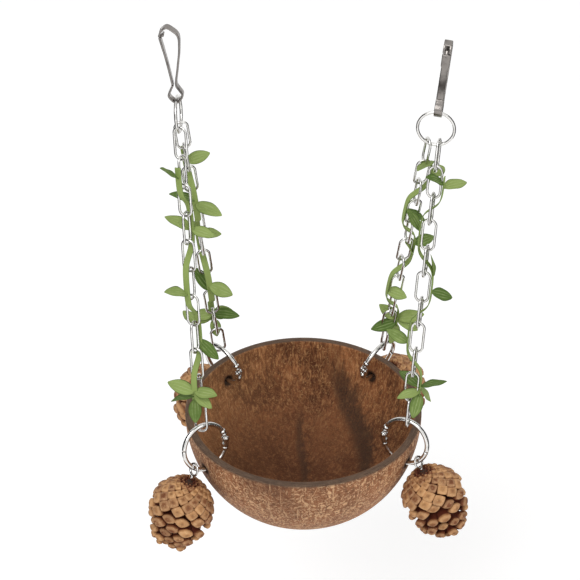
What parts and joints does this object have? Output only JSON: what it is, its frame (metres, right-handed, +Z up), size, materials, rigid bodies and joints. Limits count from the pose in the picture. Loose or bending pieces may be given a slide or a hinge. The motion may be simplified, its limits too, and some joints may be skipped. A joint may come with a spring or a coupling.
{
  "type": "hanging coconut bird nest",
  "caption": "Half coconut shell nest bowl hung on link chains from spring clips, with hinged rings through its rim, dangling pine cones and leaf vines woven through the chains.",
  "frame": {"origin": "on the cage bar that both clips hook over, midway between the clips", "axes": "+X to the right, +Y to the back, +Z up"},
  "size_m": [0.1678, 0.1357, 0.282],
  "materials": {
    "shell": "matte, fibrous",
    "nickel": "polished",
    "clip_steel": "polished",
    "cone": "matte",
    "leaf": "woven"
  },
  "bodies": {
    "clips": {"left_clip_body": "clip_steel", "right_clip_body": "clip_steel"},
    "left_gate": {"left_clip_gate": "clip_steel"},
    "right_gate": {"right_clip_gate": "clip_steel"},
    "left_ring": {"left_jump_ring": "nickel"},
    "right_ring": {"right_jump_ring": "nickel"},
    "left_chains": {"front_left_link_1": "nickel", "front_left_links_2_3": "nickel", "front_left_link_4": "nickel", "front_left_links_5_6": "nickel", "front_left_link_7": "nickel", "front_left_links_8_9": "nickel", "front_left_link_10": "nickel", "front_left_link_11": "nickel", "front_left_vine": "leaf", "back_left_link_1": "nickel", "back_left_links_2_3": "nickel", "back_left_link_4": "nickel", "back_left_links_5_6": "nickel", "back_left_link_7": "nickel", "back_left_links_8_9": "nickel", "back_left_link_10": "nickel", "back_left_link_11": "nickel", "back_left_vine": "leaf"},
    "right_chains": {"front_right_link_1": "nickel", "front_right_links_2_3": "nickel", "front_right_link_4": "nickel", "front_right_links_5_6": "nickel", "front_right_link_7": "nickel", "front_right_links_8_9": "nickel", "front_right_link_10": "nickel", "front_right_link_11": "nickel", "front_right_vine": "leaf", "back_right_link_1": "nickel", "back_right_links_2_3": "nickel", "back_right_link_4": "nickel", "back_right_links_5_6": "nickel", "back_right_link_7": "nickel", "back_right_links_8_9": "nickel", "back_right_link_10": "nickel", "back_right_link_11": "nickel", "back_right_vine": "leaf"},
    "bowl": {"coconut_bowl": "shell", "front_left_ring_lower": "nickel", "back_left_ring_lower": "nickel", "front_right_ring_lower": "nickel", "back_right_ring_lower": "nickel"},
    "front_left_ring_top": {"front_left_ring_upper": "nickel"},
    "back_left_ring_top": {"back_left_ring_upper": "nickel"},
    "front_right_ring_top": {"front_right_ring_upper": "nickel"},
    "back_right_ring_top": {"back_right_ring_upper": "nickel"},
    "front_left_pine_cone": {"front_left_cone": "cone", "front_left_cone_eye": "nickel"},
    "back_left_pine_cone": {"back_left_cone": "cone", "back_left_cone_eye": "nickel"},
    "front_right_pine_cone": {"front_right_cone": "cone", "front_right_cone_eye": "nickel"},
    "back_right_pine_cone": {"back_right_cone": "cone", "back_right_cone_eye": "nickel"}
  },
  "joints": [
    {"name": "left_gate_press", "type": "hinge", "parent": "clips", "child": "left_gate", "pos_m": [-0.06324, 0.00861, -0.03036], "axis": [0.1214, 0.9925, 0.0106], "range_deg": [0, 11], "stiffness_Nm_per_rad": 0.05},
    {"name": "right_gate_press", "type": "hinge", "parent": "clips", "child": "right_gate", "pos_m": [0.06216, -0.00938, -0.03027], "axis": [-0.9744, 0.2079, 0.0852], "range_deg": [0, 11], "stiffness_Nm_per_rad": 0.05},
    {"name": "left_swing", "type": "hinge", "parent": "clips", "child": "left_ring", "pos_m": [-0.06091, 0.0085, -0.04669], "axis": [0.988, -0.137, 0.0706], "range_deg": [-10, 10]},
    {"name": "right_swing", "type": "hinge", "parent": "clips", "child": "right_ring", "pos_m": [0.06168, -0.0085, -0.03793], "axis": [0.988, -0.137, 0.0706], "range_deg": [-10, 10]},
    {"name": "left_sway", "type": "hinge", "parent": "left_ring", "child": "left_chains", "pos_m": [-0.06019, 0.0085, -0.05492], "axis": [0, 1, 0], "range_deg": [-5, 5]},
    {"name": "right_sway", "type": "hinge", "parent": "right_ring", "child": "right_chains", "pos_m": [0.06019, -0.0085, -0.05492], "axis": [0, 1, 0], "range_deg": [-5, 5]},
    {"name": "bowl_sway", "type": "hinge", "parent": "left_chains", "child": "bowl", "pos_m": [-0.04751, 0, -0.20655], "axis": [0, 1, 0], "range_deg": [-6.4, 6.4]},
    {"name": "front_left_ring_open", "type": "hinge", "parent": "bowl", "child": "front_left_ring_top", "pos_m": [-0.04055, -0.02321, -0.21907], "axis": [-0.4989, 0.841, -0.2093], "range_deg": [0, 20]},
    {"name": "back_left_ring_open", "type": "hinge", "parent": "bowl", "child": "back_left_ring_top", "pos_m": [-0.03265, 0.03002, -0.21753], "axis": [0.7186, 0.6678, 0.1941], "range_deg": [0, 20]},
    {"name": "front_right_ring_open", "type": "hinge", "parent": "bowl", "child": "front_right_ring_top", "pos_m": [0.04022, -0.02378, -0.21784], "axis": [-0.5098, -0.8483, 0.1434], "range_deg": [0, 20]},
    {"name": "back_right_ring_open", "type": "hinge", "parent": "bowl", "child": "back_right_ring_top", "pos_m": [0.03336, 0.02932, -0.21684], "axis": [0.7116, -0.6544, -0.2557], "range_deg": [0, 20]},
    {"name": "front_left_cone_swing", "type": "hinge", "parent": "bowl", "child": "front_left_pine_cone", "pos_m": [-0.0564, -0.03499, -0.22862], "axis": [-0.7391, -0.2868, 0.6095], "range_deg": [-20, 20]},
    {"name": "back_left_cone_swing", "type": "hinge", "parent": "bowl", "child": "back_left_pine_cone", "pos_m": [-0.04494, 0.04584, -0.22646], "axis": [-0.61, 0.4713, 0.6369], "range_deg": [-20, 20]},
    {"name": "front_right_cone_swing", "type": "hinge", "parent": "bowl", "child": "front_right_pine_cone", "pos_m": [0.05686, -0.03528, -0.22675], "axis": [0.6867, -0.3008, 0.6618], "range_deg": [-20, 20]},
    {"name": "back_right_cone_swing", "type": "hinge", "parent": "bowl", "child": "back_right_pine_cone", "pos_m": [0.04561, 0.04583, -0.22497], "axis": [0.6198, 0.4134, 0.667], "range_deg": [-20, 20]}
  ],
  "couplings": [
    {"joint": "right_swing", "follows": "left_swing", "ratio": 1},
    {"joint": "right_sway", "follows": "left_sway", "ratio": 1},
    {"joint": "bowl_sway", "follows": "left_sway", "ratio": -1.267}
  ]
}
